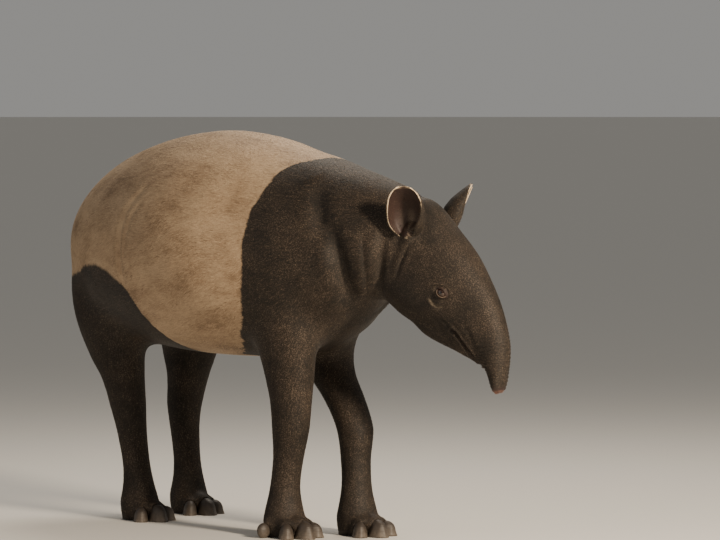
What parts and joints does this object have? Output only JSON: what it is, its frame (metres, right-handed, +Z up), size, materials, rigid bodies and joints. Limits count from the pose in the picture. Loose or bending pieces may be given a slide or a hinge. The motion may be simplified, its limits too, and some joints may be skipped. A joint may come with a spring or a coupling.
{
  "type": "malayan tapir model",
  "caption": "Life-size still model of a Malayan tapir walking with lowered head: dark foreparts and legs, pale saddle, short flexible snout, rounded pale-rimmed ears.",
  "frame": {"origin": "on the ground, under the middle of the overall box", "axes": "+X towards the head, +Y to the animal's left, +Z up"},
  "size_m": [1.6334, 0.631, 1.0421],
  "materials": {
    "coat_pale": "short pale greyish-beige coat on skin",
    "coat_dark": "short brown-black coat on skin",
    "hoof_horn": "satin dark horn",
    "eye": "polished dark brown"
  },
  "bodies": {
    "root": {"torso": "coat_pale", "neck": "coat_dark", "head": "coat_dark", "jaw": "coat_dark", "snout": "coat_dark", "tail": "coat_dark", "ear_left": "coat_dark", "eye_left": "eye", "arm_left": "coat_dark", "forearm_left": "coat_dark", "forefoot_left": "coat_dark", "thigh_left": "coat_dark", "shank_left": "coat_dark", "hindfoot_left": "coat_dark", "hoof_fore_left_inner": "hoof_horn", "hoof_fore_left_middle": "hoof_horn", "hoof_fore_left_outer": "hoof_horn", "hoof_fore_left_side": "hoof_horn", "hoof_hind_left_inner": "hoof_horn", "hoof_hind_left_middle": "hoof_horn", "hoof_hind_left_outer": "hoof_horn", "ear_right": "coat_dark", "eye_right": "eye", "arm_right": "coat_dark", "forearm_right": "coat_dark", "forefoot_right": "coat_dark", "thigh_right": "coat_dark", "shank_right": "coat_dark", "hindfoot_right": "coat_dark", "hoof_fore_right_inner": "hoof_horn", "hoof_fore_right_middle": "hoof_horn", "hoof_fore_right_outer": "hoof_horn", "hoof_fore_right_side": "hoof_horn", "hoof_hind_right_inner": "hoof_horn", "hoof_hind_right_middle": "hoof_horn", "hoof_hind_right_outer": "hoof_horn"}
  },
  "joints": []
}
